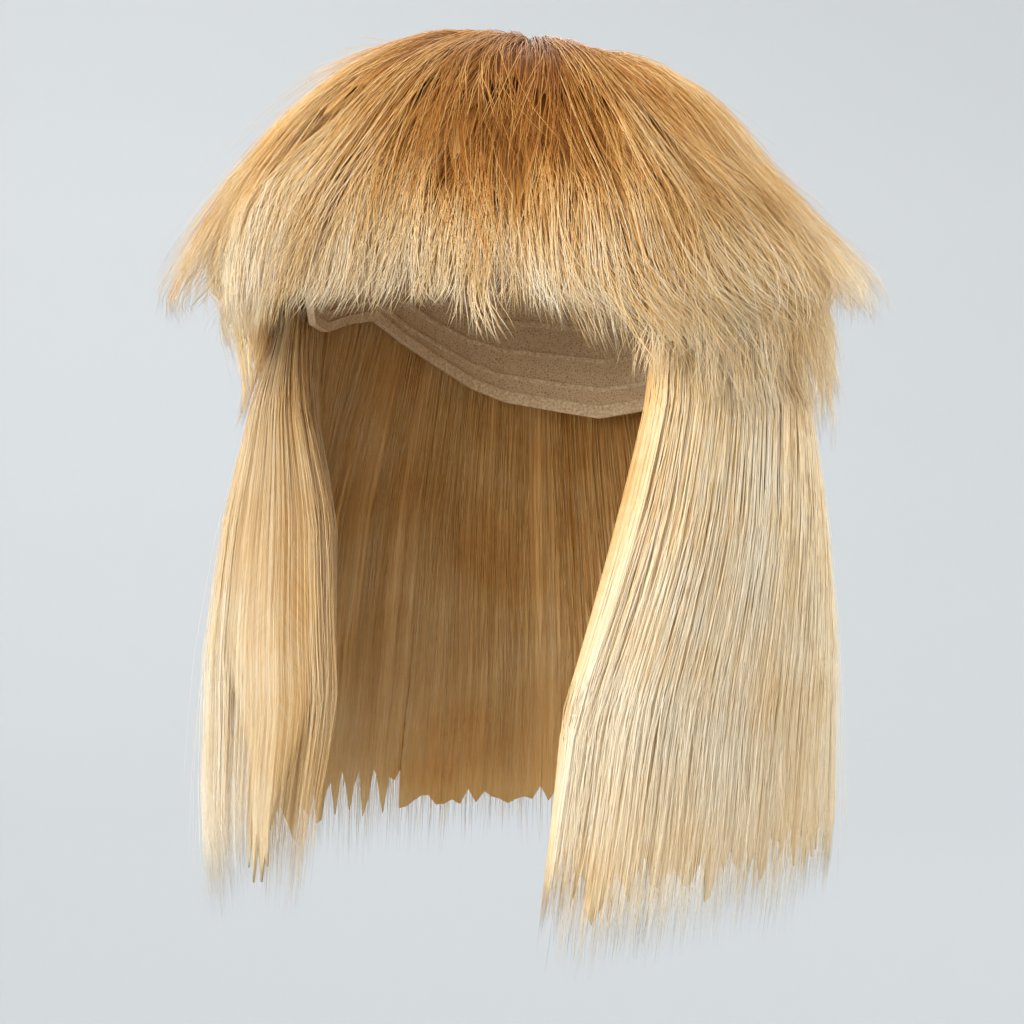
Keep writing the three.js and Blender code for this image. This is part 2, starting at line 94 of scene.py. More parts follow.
# Heights of the layers at six places round the head, in shares of the size named beside each one
sides = (
    ("front", 0), ("leftTemple", 52), ("leftSide", 105),
    ("back", 180), ("rightSide", 285), ("rightTemple", 308),
)
heights = {
    "crown": {
        "size": 30, "reach": (0, 0.15, 0.3, 0.5, 0.7),
        "front": (0.35, 0.5, 0.6, 0.66, 0.62), "leftTemple": (0.35, 0.42, 0.54, 0.66, 0.74),
        "leftSide": (0.35, 0.43, 0.6, 0.77, 0.9), "back": (0.35, 0.5, 0.68, 0.84, 0.96),
        "rightSide": (0.35, 0.74, 0.78, 0.9, 1.16), "rightTemple": (0.35, 0.7, 0.72, 0.8, 0.92),
    },
    "flick": {
        "size": 33, "reach": (0.7, 0.85, 0.99, 1.2),
        "front": (0, -0.06, -0.11, -0.06), "leftTemple": (0, 0.05, 0.05, 0),
        "leftSide": (0, 0.3, 1.06, 1.18), "back": (0, 0.14, 0.4, 0.46),
        "rightSide": (0, 0.26, 0.84, 0.92), "rightTemple": (0, 0.09, 0.16, 0.05),
    },
    "lower": {
        "size": 46, "reach": (0.88, 1, 1.15, 1.45),
        "front": (0.32, 0.5, 0.56, 0.6), "leftTemple": (0.32, 0.5, 0.58, 0.62),
        "leftSide": (0.4, 0.7, 0.92, 1), "back": (0.36, 0.6, 0.72, 0.82),
        "rightSide": (0.4, 0.66, 0.82, 0.66), "rightTemple": (0.32, 0.5, 0.55, 0.5),
    },
    "length": {
        "size": 47, "reach": (0.85, 1, 1.2, 1.5, 2.05, 2.7, 3.4, 4),
        "front": (0.2, 0.33, 0.42, 0.6, 0.78, 0.84, 0.82, 0.74),
        "leftTemple": (0.2, 0.33, 0.42, 0.62, 0.82, 0.87, 0.85, 0.78),
        "leftSide": (0.2, 0.33, 0.45, 0.75, 0.89, 0.98, 0.96, 0.86),
        "back": (0.2, 0.33, 0.4, 0.52, 0.66, 0.72, 0.68, 0.6),
        "rightSide": (0.2, 0.33, 0.43, 0.6, 0.79, 0.9, 0.9, 0.78),
        "rightTemple": (0.2, 0.33, 0.42, 0.6, 0.86, 0.96, 0.94, 0.8),
    },
}


def heightFrom(name, reach, azimuth):
    table = heights[name]
    turned = np.asarray(azimuth) % 360
    result = np.zeros(np.broadcast(turned, reach).shape)
    for index, (side, start) in enumerate(sides):
        nextSide, end = sides[index + 1] if index + 1 < len(sides) else (sides[0][0], 360)
        inside = (turned >= start) & (turned < end)
        share = ease((turned - start) / (end - start))
        first = np.interp(reach, table["reach"], table[side])
        second = np.interp(reach, table["reach"], table[nextSide])
        result = np.where(inside, mix(first, second, share), result)
    return result * table["size"]


# How the hair is laid: gaps between layers, where each one starts, and the edges beside the face
lay = {
    "capWall": 2, "gap": 0.9, "leastHair": 2.2, "cover": 6, "crownSeat": 0.05,
    "layerStart": 0.46, "coverEnd": 0.72, "crownReach": 0.78, "seatEnd": 0.8,
    "lengthStart": 0.85, "lowerStart": 0.88,
    "thinStart": 0.85, "thinEnd": 1.05, "thinShare": 0.62,
    "fringeAngle": 46, "rampAngle": 54, "lowerAngle": 56, "backAngle": 132,
    "fringeDepth": 90, "upperDepth": 92, "lowerDepth": 124, "lengthDepth": 332, "backLength": 0.95,
    "bunchAngle": 38, "roundAngle": 13, "edgeShare": 0.45,
}
lay["base"] = lay["capWall"] + lay["gap"]
lengthThickness = {
    "reach": (0.85, 1, 1.5, 2.05, 2.9, 4),
    "all": (0.16, 0.28, 0.34, 0.32, 0.3, 0.16),
    "left": (0, 0, 0.08, 0.26, 0.3, 0.1),
    "right": (0, 0, 0.12, 0.46, 0.56, 0.24),
}
faceEdges = {
    "reach": (0.85, 1.2, 2.05, 2.8, 4),
    "left": (68, 62, 47, 35, 27), "leftDraw": (1, 1, 1, 1, 1),
    "right": (72, 69, 60, 54, 46), "rightDraw": (1, 1, 0.84, 0.78, 0.82),
}
upperPoints = {
    "azimuth": (0, 26, 50, 72, 95, 118, 150, 180, 212, 250, 285, 308, 334, 360),
    "share": (0.98, 1.04, 1.17, 1.08, 0.98, 0.96, 1, 1.1, 1, 0.95, 0.96, 1.08, 1.04, 0.98),
}


def faceEdge(column, reach):
    return np.interp(reach, faceEdges["reach"], faceEdges[column])


def crownTop(azimuth, reach):
    return heightFrom("crown", reach, azimuth) + heightFrom("flick", reach, azimuth)


def nearEdge(azimuth, reach):
    onLeft = azimuth < 180
    turn = np.where(onLeft, azimuth - faceEdge("left", reach), 360 - azimuth - faceEdge("right", reach))
    rounding = np.sqrt(1 - (1 - np.clip(turn / lay["roundAngle"], 0, 1)) ** 2)
    return onLeft, ease(1 - turn / lay["bunchAngle"]), mix(lay["edgeShare"], 1, rounding)


def lengthFaces(azimuth, reach):
    onLeft, near, full = nearEdge(azimuth, reach)
    plain = np.interp(reach, lengthThickness["reach"], lengthThickness["all"])
    left = np.interp(reach, lengthThickness["reach"], lengthThickness["left"])
    right = np.interp(reach, lengthThickness["reach"], lengthThickness["right"])
    crest = np.maximum(lay["base"] + lay["leastHair"], heightFrom("length", reach, azimuth))
    bunched = plain + near * np.where(onLeft, left, right)
    thickness = np.maximum(lay["leastHair"], heights["length"]["size"] * bunched)
    taken = np.minimum(thickness, crest - lay["base"]) * (1 - full) / 2
    outer = np.maximum(lay["base"] + lay["leastHair"], crest - taken)
    return np.maximum(lay["base"], crest - thickness + taken), outer


def lowerFaces(azimuth, reach):
    inner = lengthFaces(azimuth, reach)[1] + lay["gap"]
    return inner, np.maximum(heightFrom("lower", reach, azimuth), inner + lay["leastHair"])


def upperFaces(azimuth, reach):
    turned = np.asarray(azimuth) % 360
    turn = np.minimum(turned, 360 - turned)
    over = np.clip((turn - lay["fringeAngle"]) / (lay["rampAngle"] - lay["fringeAngle"]), 0, 1)
    lowerOuter = lowerFaces(turned, np.maximum(reach, lay["lowerStart"]))[1]
    clear = mix(lay["base"], lowerOuter + lay["gap"], over)
    full = crownTop(azimuth, reach)
    thinned = lay["thinShare"] * ease((reach - lay["thinStart"]) / (lay["thinEnd"] - lay["thinStart"]))
    inner = np.where(reach > lay["seatEnd"], np.maximum(clear, mix(clear, full, thinned)), lay["base"])
    covered = lay["cover"] * np.clip((lay["seatEnd"] - reach) / (lay["seatEnd"] - lay["coverEnd"]), 0, 1)
    return inner, np.maximum(full - covered, inner + lay["leastHair"])


def crownFaces(azimuth, reach):
    under = upperFaces(azimuth, np.maximum(reach, lay["layerStart"]))[1]
    seat = np.where(reach > lay["layerStart"] - lay["crownSeat"], under + lay["gap"], lay["base"])
    return seat, np.maximum(crownTop(azimuth, reach), seat + lay["leastHair"])


def upperEnd(azimuth, depth):
    share = np.interp(np.asarray(azimuth) % 360, upperPoints["azimuth"], upperPoints["share"])
    return depth * share / head["rise"]


def lengthEnd(azimuth):
    left, right = firstLeft, firstRight
    around = np.clip((azimuth - left) / (360 - left - right), 0, 1)
    return lay["lengthDepth"] / head["rise"] * mix(1, lay["backLength"], np.sin(math.pi * around))


# The families of layers: the faces that the hair lies between, its first reach and the reach of its ends
families = {
    "crown": {"faces": crownFaces, "start": 0.0, "end": lambda azimuth: lay["crownReach"] + 0 * azimuth,
              "slot": "crown_hair"},
    "fringe": {"faces": upperFaces, "start": lay["layerStart"], "slot": "fringe_hair",
               "end": lambda azimuth: upperEnd(azimuth, lay["fringeDepth"])},
    "upper": {"faces": upperFaces, "start": lay["layerStart"], "slot": "layer_hair",
              "end": lambda azimuth: upperEnd(azimuth, lay["upperDepth"])},
    "lower": {"faces": lowerFaces, "start": lay["lowerStart"], "slot": "layer_hair",
              "end": lambda azimuth: lay["lowerDepth"] / head["rise"] + 0 * azimuth},
    "length": {"faces": lengthFaces, "start": lay["lengthStart"], "end": lengthEnd, "slot": "length_hair"},
}
fringeAngle, lowerAngle, backAngle = lay["fringeAngle"], lay["lowerAngle"], lay["backAngle"]
firstLeft, firstRight = faceEdges["left"][0], faceEdges["right"][0]
lengthTurn = 360 - firstLeft - firstRight
# The long hair's limits are shares of the way round from the left of the face to the right of it
leftShare = (backAngle - firstLeft) / lengthTurn
rightShare = (360 - backAngle - firstLeft) / lengthTurn
# Each band of hair: where it lies, its locks, and how many tufts of how many loose hairs it has
bands = [
    {"node": "crown_hair", "family": "crown", "from": 0, "to": 360,
     "locks": 17, "ridge": 0.42, "tufts": 170, "hairs": 24, "rings": 8, "seed": 11},
    {"node": "fringe", "family": "fringe", "from": -fringeAngle, "to": fringeAngle,
     "locks": 7, "ridge": 0.4, "tufts": 94, "hairs": 27, "rings": 7, "seed": 12},
    {"node": "left_upper_layer", "family": "upper", "from": fringeAngle, "to": backAngle,
     "locks": 5, "ridge": 0.45, "tufts": 84, "hairs": 26, "rings": 7, "seed": 13},
    {"node": "back_upper_layer", "family": "upper", "from": backAngle, "to": 360 - backAngle,
     "locks": 6, "ridge": 0.45, "tufts": 54, "hairs": 24, "rings": 7, "seed": 14},
    {"node": "right_upper_layer", "family": "upper", "from": 360 - backAngle, "to": 360 - fringeAngle,
     "locks": 5, "ridge": 0.45, "tufts": 71, "hairs": 26, "rings": 7, "seed": 15},
    {"node": "left_lower_layer", "family": "lower", "from": lowerAngle, "to": backAngle,
     "locks": 4, "ridge": 0.45, "tufts": 62, "hairs": 24, "rings": 6, "seed": 16},
    {"node": "back_lower_layer", "family": "lower", "from": backAngle, "to": 360 - backAngle,
     "locks": 5, "ridge": 0.45, "tufts": 44, "hairs": 22, "rings": 6, "seed": 17},
    {"node": "right_lower_layer", "family": "lower", "from": 360 - backAngle, "to": 360 - lowerAngle,
     "locks": 4, "ridge": 0.45, "tufts": 48, "hairs": 24, "rings": 6, "seed": 18},
    {"node": "left_length", "family": "length", "from": 0, "to": leftShare,
     "locks": 5, "ridge": 0.35, "tufts": 79, "hairs": 25, "rings": 13, "seed": 19},
    {"node": "back_length", "family": "length", "from": leftShare, "to": rightShare,
     "locks": 6, "ridge": 0.35, "tufts": 66, "hairs": 22, "rings": 12, "seed": 20,
     "insideShare": 0.45, "ragged": 8},
    {"node": "right_length", "family": "length", "from": rightShare, "to": 1,
     "locks": 5, "ridge": 0.35, "tufts": 58, "hairs": 24, "rings": 12, "seed": 21},
]


def azimuthAt(band, share, reach):
    across = mix(band["from"], band["to"], share) + 0 * reach
    if band["family"] != "length":
        return across
    return mix(faceEdge("left", reach), 360 - faceEdge("right", reach), across)


# Places a hair by its depth between the two faces of its band, 0 the inner one and 1 the outer one
def placeHair(band, azimuth, reach, depth, lift=0.0):
    inner, outer = families[band["family"]]["faces"](azimuth, reach)
    if band["family"] != "length":
        return overHead(azimuth, reach, mix(inner, outer, depth) + lift)
    onLeft, near, _ = nearEdge(azimuth, reach)
    drawn = mix(1, np.where(onLeft, faceEdge("leftDraw", reach), faceEdge("rightDraw", reach)), near)
    outside, normal = overHead(azimuth, reach, outer + lift)
    inside, _ = overHead(azimuth, reach, inner, draw=drawn)
    return inside + (outside - inside) * np.asarray(depth)[..., None], normal


def meshFrom(name, places, faces, smooth=True):
    mesh = bpy.data.meshes.new(name)
    mesh.from_pydata(places.tolist(), [], faces)
    if smooth:
        mesh.shade_smooth()
    piece = bpy.data.objects.new(name, mesh)
    bpy.context.scene.collection.objects.link(piece)
    return piece


def setAttribute(piece, name, values):
    attribute = piece.data.attributes.new(name, "FLOAT", "POINT")
    attribute.data.foreach_set("value", np.ascontiguousarray(values, dtype=np.float32).ravel())


# How light the hair is, from 0 for amber roots to 1 for cream ends. The tone also carries painted shade:
# hair deeper in each layer is darker, most of all inside the long hair at the back, and a painted shade
# patch lies over the crown towards the front left.
toneLook = {
    "crown": (0.3, 0.6), "fringe": (0.36, 0.84), "upper": (0.38, 0.82),
    "lower": (0.52, 0.88), "length": (0.76, 0.92), "pace": 1.2, "depth": 0.28, "backInnerShade": 0.45,
    "backStart": 80, "backTurn": 70, "crownShadeAzimuth": 28, "crownShadeWidth": 38,
    "crownShadeStrength": 0.38, "crownShadeEnd": 1.04, "crownShadeFade": 0.3,
}


def toneAt(band, azimuth, reach, depth, along):
    look = toneLook
    tone = mix(*look[band["family"]], ease(along * look["pace"]))
    turned = (np.asarray(azimuth) + 180) % 360 - 180
    # painted shade: a darker patch over the crown towards the front left, fading out down the fringe
    paintedCrownShade = np.exp(-((turned - look["crownShadeAzimuth"]) / look["crownShadeWidth"]) ** 2)
    paintedCrownShade = paintedCrownShade * ease((look["crownShadeEnd"] - reach) / look["crownShadeFade"])
    # painted shade: hair deeper in its layer is darker, and darker still inside the long hair towards the
    # back
    behind = ease((np.abs(turned) - look["backStart"]) / look["backTurn"])
    paintedInnerShade = mix(look["depth"], look["backInnerShade"], behind * (band["family"] == "length"))
    return tone - look["crownShadeStrength"] * paintedCrownShade - paintedInnerShade * (1 - np.clip(depth, 0, 1))


# The body of each band, which the loose hairs lie on: a closed form in soft locks inside its solid,
# with fine grooves along the hair. Depths are shares of the solid's thickness, lengths are in mm.
bodyLook = {
    "crown": {"low": 0.0, "high": 0.86, "shorten": 12, "ragged": 8, "notch": 0.12, "edge": 0.0},
    "fringe": {"low": 0.12, "high": 0.74, "shorten": 10, "ragged": 12, "notch": 0.12, "edge": 0.0},
    "upper": {"low": 0.15, "high": 0.8, "shorten": 22, "ragged": 10, "notch": 0.2, "edge": 0.0},
    "lower": {"low": 0.15, "high": 0.8, "shorten": 13, "ragged": 10, "notch": 0.2, "edge": 0.0},
    "length": {"low": 0.12, "high": 0.88, "shorten": 10, "ragged": 24, "notch": 0.01, "edge": 0.07},
}
bodyGrid = {
    "columns": 11, "rows": 16, "least": 0.8, "leastSpan": 0.1, "tip": 0.5, "tipStart": 0.6,
    "relief": (0.2, 0.6), "groove": 0.35, "grooves": (1.7, 2.8, 0.75), "grooveDepth": 3, "flow": 1.4,
}


def hairBody(band):
    look = bodyLook[band["family"]]
    family = families[band["family"]]
    isDome = band["family"] == "crown"
    columnCount = band["locks"] * bodyGrid["columns"]
    columns = np.arange(columnCount + (0 if isDome else 1))
    share = (columns / columnCount)[None, :]
    firstInset = look["edge"] if band["from"] == 0 else 0
    lastInset = look["edge"] if band["to"] == 1 else 0
    share = mix(firstInset, 1 - lastInset, share)
    along = np.linspace(0, 1, bodyGrid["rows"] + 1)[:, None]
    lock = np.minimum(columns // bodyGrid["columns"], band["locks"] - 1)
    within = columns / bodyGrid["columns"] - lock
    crest = np.sin(math.pi * within)
    middle = azimuthAt(band, share, 1.0)
    random = np.random.default_rng(band["seed"])
    shorter = look["shorten"] + band.get("ragged", look["ragged"]) * random.uniform(0, 1, columns.size)
    if isDome:
        shorter[0] = shorter[-1]
    end = family["end"](middle) - shorter / head["rise"]
    cut = mix(family["start"], end, 1 - look["notch"] * (1 - crest))
    reach = mix(family["start"], cut, along)
    azimuth = azimuthAt(band, share, reach)
    inner, outer = family["faces"](azimuth, reach)
    tip = ease((along - bodyGrid["tipStart"]) / (1 - bodyGrid["tipStart"]))
    relief = band["ridge"] * (1 - crest) * mix(*bodyGrid["relief"], along)
    span = np.maximum(outer - inner, bodyGrid["leastSpan"])
    thickness = np.maximum(bodyGrid["least"], span * (look["high"] - look["low"]) * (1 - relief))
    nearFace = 1.0
    if firstInset:
        nearFace = (share - firstInset) / firstInset
    if lastInset:
        nearFace = (1 - lastInset - share) / lastInset
    rounding = np.sqrt(1 - (1 - np.clip(nearFace, 0, 1)) ** 2)
    foot = span * look["low"] + thickness * (1 - rounding) / 2
    thickness = np.maximum(bodyGrid["tip"], thickness * rounding)
    left = mix(thickness, np.minimum(bodyGrid["tip"], thickness), tip)
    foot = foot + (thickness - left) * tip / 2
    grooves = bodyGrid["grooves"]
    phases = random.uniform(0, 2 * math.pi, len(grooves))
    streak = sum(np.sin(azimuth * pace + phase) for pace, phase in zip(grooves, phases)) / len(grooves)
    streak = bodyGrid["groove"] * streak * np.minimum(1, thickness / bodyGrid["grooveDepth"]) * (1 - tip)
    places, tones, flows = [], [], []
    outerDepth = (foot + left + streak) / span
    # the inner face takes the tone of depth 0, which is the darkest painted shade
    for depth, toneDepth in ((outerDepth, outerDepth), (foot / span, 0)):
        place, _ = placeHair(band, azimuth, reach, depth)
        tone = toneAt(band, azimuth, reach, toneDepth, along)
        if isDome:
            place[0] = place[0].mean(axis=0)
        places.append(place.reshape(-1, 3))
        tones.append(np.broadcast_to(tone, reach.shape).ravel())
        flow = np.stack(np.broadcast_arrays(azimuth * bodyGrid["flow"], reach * head["rise"], 0), axis=-1)
        flows.append(flow.reshape(-1, 3))
    across = len(columns)
    perFace = across * (bodyGrid["rows"] + 1)

    # Each corner is given by its face (0 the outer one), row and column. The dome closes on itself.
    def at(face, row, column):
        if isDome:
            column = 0 if row == 0 else column % across
        return face * perFace + row * across + column

    quads = []
    last, foot = columnCount, bodyGrid["rows"]
    for row in range(foot):
        for column in range(columnCount):
            beside, below = column + 1, row + 1
            quads.append(((0, row, column), (0, below, column), (0, below, beside), (0, row, beside)))
            quads.append(((1, row, column), (1, row, beside), (1, below, beside), (1, below, column)))
        if not isDome:
            quads.append(((0, row + 1, 0), (0, row, 0), (1, row, 0), (1, row + 1, 0)))
            quads.append(((0, row, last), (0, row + 1, last), (1, row + 1, last), (1, row, last)))
    for column in range(columnCount):
        beside = column + 1
        quads.append(((0, foot, beside), (0, foot, column), (1, foot, column), (1, foot, beside)))
        if not isDome:
            quads.append(((0, 0, column), (0, 0, beside), (1, 0, beside), (1, 0, column)))
    corners = [tuple(dict.fromkeys(at(*corner) for corner in quad)) for quad in quads]
    used = sorted({corner for face in corners for corner in face})
    renumber = {old: new for new, old in enumerate(used)}
    corners = [tuple(renumber[corner] for corner in face) for face in corners]
    piece = meshFrom(band["node"] + "_body", np.concatenate(places)[used], corners)
    setAttribute(piece, "tone", np.concatenate(tones)[used])
    flow = piece.data.attributes.new("flow", "FLOAT_VECTOR", "POINT")
    flow.data.foreach_set("vector", np.concatenate(flows)[used].astype(np.float32).ravel())
    return piece


# How far the hair sweeps sideways on its way down, in degrees, by where it starts
sweep = {
    "azimuth": (-180, -120, -80, -45, -20, 6, 18, 30, 52, 80, 125, 180),
    "turn": (0, 0, -6, -20, -21, -13, 0, 14, 20, 9, 0, 0),
    "share": {"crown": 1, "fringe": 0.45, "upper": 0.9},
}
# How the loose hairs grow in each family. Roots are reaches, spreads and turns are in degrees,
# the rest is in mm. Depths are shares of the layer's thickness: most hairs lie on its outside.
hairLook = {
    "crown": {
        "roots": (0.0, 0.46), "rootDepth": 0.86, "longer": 9, "tuftLength": 13, "hairLength": 6,
        "spread": 4.5, "turn": 6.5, "curl": 4.5,
        "width": 0.38, "rise": 0.16, "outside": (0.84, 1.06), "inside": (0.6, 0.9), "insideShare": 0.15,
        "pinch": 0.6, "wander": 3.0, "lift": 6.0, "stray": 0.1, "strayLift": 9, "toneSpread": 0.11,
    },
    "fringe": {
        "roots": (0.47, 0.8), "rootDepth": 0.2, "longer": 0, "tuftLength": 6, "hairLength": 6,
        "spread": 3.2, "turn": 4.0, "curl": 2.5,
        "width": 0.37, "rise": 0.16, "outside": (0.7, 1.05), "inside": (0.1, 0.5), "insideShare": 0.3,
        "pinch": 0.7, "wander": 2.6, "lift": 2.0, "stray": 0.08, "strayLift": 6, "toneSpread": 0.09,
    },
    "upper": {
        "roots": (0.47, 0.85), "rootDepth": 0.2, "longer": -6, "tuftLength": 8, "hairLength": 6,
        "spread": 3.4, "turn": 5.5, "curl": 3.5,
        "width": 0.38, "rise": 0.16, "outside": (0.76, 1.04), "inside": (0.1, 0.6), "insideShare": 0.25,
        "pinch": 0.75, "wander": 3.0, "lift": 4.0, "stray": 0.1, "strayLift": 9, "toneSpread": 0.08,
    },
    "lower": {
        "roots": (0.89, 1.0), "rootDepth": 0.2, "longer": 1, "tuftLength": 9, "hairLength": 6,
        "spread": 3.4, "turn": 3.5, "curl": 2.0,
        "width": 0.38, "rise": 0.1, "outside": (0.76, 1.03), "inside": (0.05, 0.5), "insideShare": 0.3,
        "pinch": 0.65, "wander": 2.4, "lift": 2.0, "stray": 0.08, "strayLift": 7, "toneSpread": 0.07,
    },
    "length": {
        "roots": (0.86, 1.02), "rootDepth": 0.2, "longer": -2, "tuftLength": 6, "hairLength": 9,
        "spread": 3.4, "turn": 1.0, "curl": 0.8,
        "width": 0.38, "rise": 0.14, "outside": (0.89, 1.01), "inside": (-0.03, 0.12), "insideShare": 0.3,
        "pinch": 0.12, "wander": 3.0, "lift": 1.2, "stray": 0.08, "strayLift": 10, "toneSpread": 0.05,
        "crowding": 1.35, "spacing": 1.15,
    },
}
# What the hairs of all families share: how far the single hairs of a tuft stray from it, their waves as
# pairs of pace and share, and how a thread tapers
growth = {
    "rootSpread": 0.04, "rootStart": 0.01, "ownTurn": 0.5, "pinchPower": 1.5, "turnPower": 1.3,
    "strayOffset": 1.6, "strayWander": 2.4, "strayWidth": 0.6, "waves": ((3.1, 1), (8, 0.35), (19, 0.12)),
    "waveRadius": 95, "edgeGap": 0.4, "depthSpread": 0.3, "tuftLift": 0.5, "ownLift": 0.3,
    "liftWave": 0.3, "liftPace": 4, "insideLift": 0.5, "drapedLift": 1,
    "widths": (0.75, 1.2), "taper": 0.75, "taperPower": 2.5,
}
# Near the face the hair of a layer fills its whole thickness, and the long hair ends a little higher
edgeLook = {"angle": 6, "raiseAngle": 8, "raise": 17}
# Part of the upper layers hangs on down over the layer below instead of flicking out
drapeLook = {"share": 0.42, "longer": (4, 26), "start": 0.86, "end": 1.1, "above": (0.6, 4.0)}


def edgeDistance(band, azimuth, reach):
    if band["family"] == "length":
        return np.minimum(azimuth - faceEdge("left", reach), 360 - faceEdge("right", reach) - azimuth)
    return np.minimum(azimuth - lowerAngle, 360 - lowerAngle - azimuth)


def growHair(band):
    look = hairLook[band["family"]]
    family = families[band["family"]]
    random = np.random.default_rng(band["seed"] + 100)
    tufts, hairs, rings = band["tufts"], band["hairs"], band["rings"]
    count = tufts * hairs
    along = np.linspace(0, 1, rings)[None, :]
    if band["family"] == "length":
        along = along ** look["spacing"]
    tuft = np.repeat(np.arange(tufts), hairs)
    share = (random.permutation(tufts) + random.uniform(0, 1, tufts)) / tufts
    if band["from"] == 0 and band["family"] == "length":
        share = share ** look["crowding"]
    if band["to"] == 1:
        share = 1 - (1 - share) ** look["crowding"]
    share = share[tuft]
    stray = random.uniform(0, 1, count) < look["stray"]

    root = random.uniform(*look["roots"], tufts)[tuft]
    root = root + random.uniform(-growth["rootSpread"], growth["rootSpread"], count)
    root = np.maximum(root, family["start"] + growth["rootStart"])
    middle = azimuthAt(band, share, 1.0)
    turned = (middle + 180) % 360 - 180
    turn = random.normal(0, look["turn"], tufts)[tuft]
    turn = turn + random.normal(0, look["turn"] * growth["ownTurn"], count)
    turn = turn + sweep["share"].get(band["family"], 0) * np.interp(turned, sweep["azimuth"], sweep["turn"])
    length = random.normal(look["longer"], look["tuftLength"], tufts)[tuft]
    length = length - np.abs(random.normal(0, look["hairLength"], count)) + look["hairLength"] / 2
    if band["family"] == "length":
        fromFace = edgeDistance(band, middle, 1.0)
        length = length - edgeLook["raise"] * ease(1 - fromFace / edgeLook["raiseAngle"])
    isDraped = (random.uniform(0, 1, count) < drapeLook["share"]) & (band["family"] == "upper")
    length = length + np.where(isDraped, random.uniform(*drapeLook["longer"], count), 0)
    end = family["end"](middle + turn) + length / head["rise"]
    reach = mix(root[:, None], end[:, None], along)

    offset = random.uniform(-1, 1, count) * look["spread"] * np.where(stray, growth["strayOffset"], 1)
    across = offset[:, None] * (1 - look["pinch"] * along ** growth["pinchPower"])
    across = across + turn[:, None] * along ** growth["turnPower"]
    across = across + random.normal(0, look["curl"], tufts)[tuft][:, None] * np.sin(math.pi * along)
    phases = random.uniform(0, 2 * math.pi, (count, len(growth["waves"])))
    size = look["wander"] * random.uniform(0.2, 1, count) * np.where(stray, growth["strayWander"], 1)
    wave = 0
    for index, (pace, part) in enumerate(growth["waves"]):
        phase = phases[:, index:index + 1]
        wave = wave + part * (np.sin(along * pace + phase) - np.sin(phase))
    across = across + np.degrees(size[:, None] * wave / growth["waveRadius"])
    azimuth = azimuthAt(band, share[:, None], reach) + across
    if band["family"] == "length":
        leftEdge = faceEdge("left", reach) + growth["edgeGap"]
        azimuth = np.clip(azimuth, leftEdge, 360 - growth["edgeGap"] - faceEdge("right", reach))

    isInside = random.uniform(0, 1, count) < band.get("insideShare", look["insideShare"])
    within = random.uniform(0, 1, tufts)[tuft] + random.normal(0, growth["depthSpread"], count)
    within = np.clip(within, 0, 1)
    depthEnd = np.where(isInside, mix(*look["inside"], within), mix(*look["outside"], within))
    if band["family"] in ("length", "lower"):
        isAtEdge = edgeDistance(band, azimuth, reach).min(axis=1) < edgeLook["angle"]
        depthEnd = np.where(isAtEdge, random.uniform(0, 1, count), depthEnd)
    rise = ease((reach - reach[:, :1]) / look["rise"])
    depth = mix(np.minimum(depthEnd, look["rootDepth"])[:, None], depthEnd[:, None], rise)
    lift = random.normal(0, growth["tuftLift"], tufts)[tuft] + random.normal(0, growth["ownLift"], count)
    lift = lift * look["lift"]
    lift = lift + np.where(stray, random.uniform(1, look["strayLift"], count), 0)
    ripple = np.sin(along * growth["liftPace"] + phases[:, -1:]) * along
    lift = lift[:, None] * along ** 2 + growth["liftWave"] * size[:, None] * ripple
    lift = np.where(isInside[:, None], np.minimum(lift, growth["insideLift"]), lift)
    if band["family"] == "upper":
        inner, outer = upperFaces(azimuth, reach)
        target = lowerFaces(azimuth, np.maximum(reach, lay["lowerStart"]))[1]
        target = target + random.uniform(*drapeLook["above"], count)[:, None]
        falls = ease((reach - drapeLook["start"]) / (drapeLook["end"] - drapeLook["start"]))
        drop = (target - mix(inner, outer, depth)) * falls
        lift = np.where(isDraped[:, None], np.minimum(lift, growth["drapedLift"]) + drop, lift)
    place, normal = placeHair(band, azimuth, reach, depth, lift)

    width = look["width"] * random.uniform(*growth["widths"], count)
    width = width * np.where(stray, growth["strayWidth"], 1)
    width = width[:, None] * (1 - growth["taper"] * along ** growth["taperPower"])
    # tone with its painted shade, then a random tone for each tuft and each hair
    tone = toneAt(band, azimuth, reach, depth, along)
    tone = tone + random.normal(0, look["toneSpread"], tufts)[tuft][:, None]
    tone = tone + random.normal(0, look["toneSpread"], count)[:, None]
    return place, normal, width, np.clip(tone, 0, 1)


# Makes each hair a closed tapering thread with three sides, flat towards the head and raised in the middle
threadShape = {"under": 0.3, "over": 0.6}


